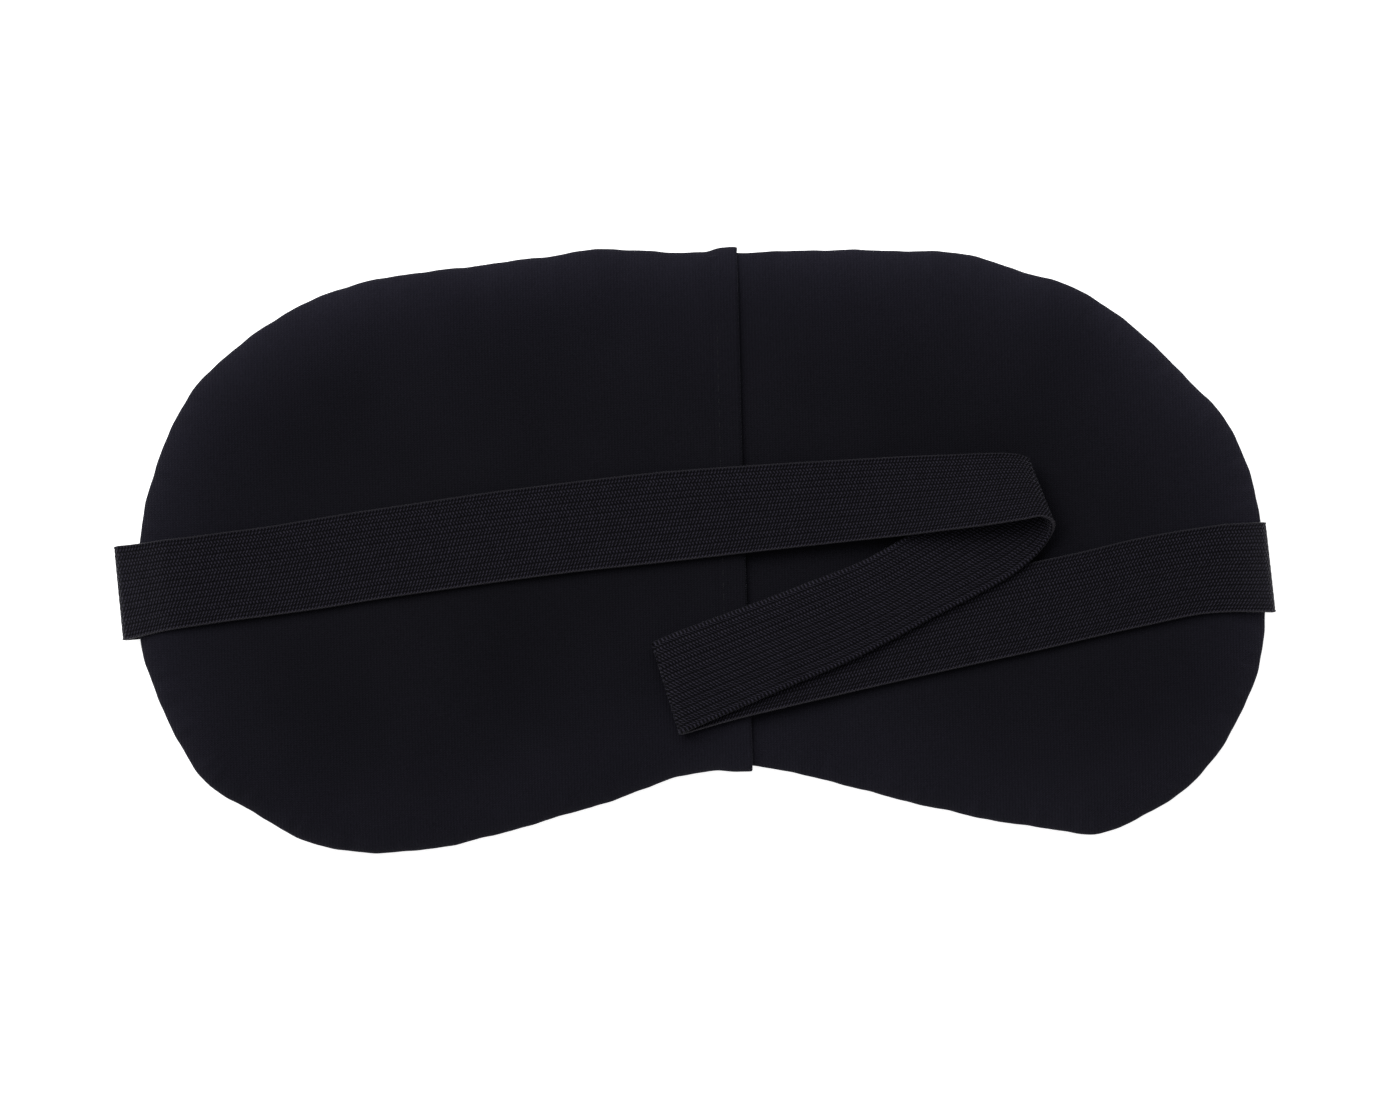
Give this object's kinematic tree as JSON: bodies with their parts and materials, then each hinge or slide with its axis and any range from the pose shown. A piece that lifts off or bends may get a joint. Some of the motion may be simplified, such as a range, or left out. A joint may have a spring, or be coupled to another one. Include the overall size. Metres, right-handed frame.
{
  "type": "sleep mask",
  "caption": "Padded fabric blindfold for both eyes, with a nose notch, a lapped two-panel back and a flat elastic head strap folded over the back.",
  "frame": {"origin": "centre of the underside of the object's box, on the surface that the mask's face lies on", "axes": "+X across the mask from the side where the top strap run starts, +Y towards the forehead edge, +Z out of the back of the mask"},
  "size_m": [0.2344, 0.1218, 0.0146],
  "materials": {
    "face_cloth": "smooth black woven cloth",
    "black_knit": "fine black single jersey, slightly fuzzy",
    "elastic": "black knitted elastic with lengthwise ribs",
    "thread": "black polyester sewing thread",
    "foam": "dark polyurethane foam"
  },
  "bodies": {
    "mask": {"front_panel": "face_cloth", "foam_pad": "foam", "back_panel_left": "black_knit", "back_panel_right": "black_knit", "right_panel_hem": "black_knit", "right_hem_stitches": "thread", "perimeter_seam_thread": "thread", "strap_tack_left": "thread", "strap_tack_right": "thread", "strap_left_turn": "elastic", "strap_right_turn": "elastic"},
    "flap": {"pocket_flap": "black_knit", "pocket_flap_hem": "black_knit", "flap_hem_stitches": "thread"},
    "strap_upper": {"strap_upper_run": "elastic"},
    "strap_middle": {"strap_middle_run": "elastic"},
    "strap_lower": {"strap_lower_run": "elastic"}
  },
  "joints": [
    {"name": "strap_lift", "type": "hinge", "parent": "mask", "child": "strap_upper", "pos_m": [-0.104, -0.0052, 0.0096], "axis": [0, -1, 0], "range_deg": [0, 25]},
    {"name": "strap_right_fold", "type": "hinge", "parent": "strap_upper", "child": "strap_middle", "pos_m": [0.0718, 0.009, 0.0124], "axis": [0, -1, 0], "range_deg": [0, 15.6]},
    {"name": "strap_left_fold", "type": "hinge", "parent": "strap_middle", "child": "strap_lower", "pos_m": [-0.0063, -0.029, 0.0099], "axis": [0, 1, 0], "range_deg": [0, 53.1]},
    {"name": "flap_lift", "type": "hinge", "parent": "mask", "child": "flap", "pos_m": [-0.0174, 0.008, 0.0074], "axis": [0, -1, 0], "range_deg": [0, 20.1]}
  ],
  "couplings": [
    {"joint": "strap_right_fold", "follows": "strap_lift", "ratio": 0.6203},
    {"joint": "strap_left_fold", "follows": "strap_lift", "ratio": 2.1211},
    {"joint": "flap_lift", "follows": "strap_lift", "ratio": 0.8}
  ]
}
